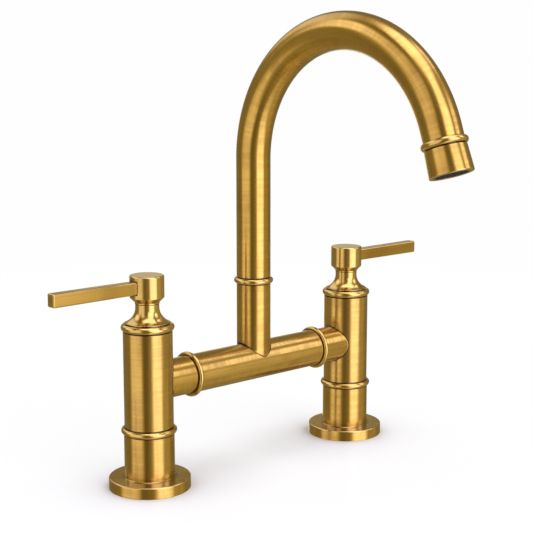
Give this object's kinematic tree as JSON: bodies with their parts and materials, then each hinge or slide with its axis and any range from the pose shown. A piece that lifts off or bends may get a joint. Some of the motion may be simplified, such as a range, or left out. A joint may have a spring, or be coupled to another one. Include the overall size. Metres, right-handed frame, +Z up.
{
  "type": "bridge kitchen faucet",
  "caption": "Deck-mounted bridge kitchen faucet: upright posts with lever handles, joined by a bridge tube that carries a high arched swivel spout with an aerator.",
  "frame": {"origin": "on the worktop, midway between the two posts", "axes": "+X along the bridge to the right-hand post, -Y towards the user, where the spout points, +Z up"},
  "size_m": [0.3642, 0.2373, 0.4074],
  "materials": {
    "brushed_brass": "brushed satin gold, lathe and length brushing, slightly aged",
    "polished_brass": "lightly polished gold beads and bells",
    "plain_brass": "machined, unplated",
    "black_rubber": "matt black moulded rubber",
    "steel": "plain stainless steel",
    "ceramic": "lapped white ceramic",
    "black_plastic": "moulded black plastic"
  },
  "bodies": {
    "faucet": {"left_foot_flange": "brushed_brass", "left_foot_gasket": "black_rubber", "left_leg": "brushed_brass", "left_leg_ring": "polished_brass", "left_shank": "plain_brass", "left_valve_body": "brushed_brass", "left_seat_seal": "black_rubber", "left_fixed_disc": "ceramic", "left_cartridge": "plain_brass", "left_bonnet_ring": "polished_brass", "left_bonnet_bell": "polished_brass", "left_bridge_ring": "polished_brass", "left_bridge_nipple": "plain_brass", "right_foot_flange": "brushed_brass", "right_foot_gasket": "black_rubber", "right_leg": "brushed_brass", "right_leg_ring": "polished_brass", "right_shank": "plain_brass", "right_valve_body": "brushed_brass", "right_seat_seal": "black_rubber", "right_fixed_disc": "ceramic", "right_cartridge": "plain_brass", "right_bonnet_ring": "polished_brass", "right_bonnet_bell": "polished_brass", "right_bridge_ring": "polished_brass", "right_bridge_nipple": "plain_brass", "deck_rubber_washers": "black_rubber", "deck_steel_washers": "steel", "deck_backnuts": "plain_brass", "bridge_tee": "brushed_brass", "bridge_orings": "black_rubber", "riser_ring": "polished_brass", "swivel_washer": "black_plastic", "spout_lock_screw": "steel"},
    "left_handle": {"left_moving_disc": "ceramic", "left_spindle": "plain_brass", "left_spindle_orings": "black_rubber", "left_handle_hub": "brushed_brass", "left_lever": "brushed_brass", "left_handle_screw": "steel"},
    "right_handle": {"right_moving_disc": "ceramic", "right_spindle": "plain_brass", "right_spindle_orings": "black_rubber", "right_handle_hub": "brushed_brass", "right_lever": "brushed_brass", "right_handle_screw": "steel"},
    "spout": {"spout_swivel": "plain_brass", "swivel_orings": "black_rubber", "spout_tube": "brushed_brass", "tip_ring": "polished_brass", "aerator_housing": "brushed_brass", "aerator_washer": "black_rubber", "aerator_screen": "steel", "aerator_insert": "black_plastic"}
  },
  "joints": [
    {"name": "left_handle_turn", "type": "hinge", "parent": "faucet", "child": "left_handle", "pos_m": [-0.1016, 0, 0.147], "axis": [0, 0, 1], "range_deg": [0, 90]},
    {"name": "right_handle_turn", "type": "hinge", "parent": "faucet", "child": "right_handle", "pos_m": [0.1016, 0, 0.147], "axis": [0, 0, -1], "range_deg": [0, 90]},
    {"name": "spout_swivel_turn", "type": "hinge", "parent": "faucet", "child": "spout", "pos_m": [0, 0, 0.144], "axis": [0, 0, 1], "continuous": true}
  ]
}
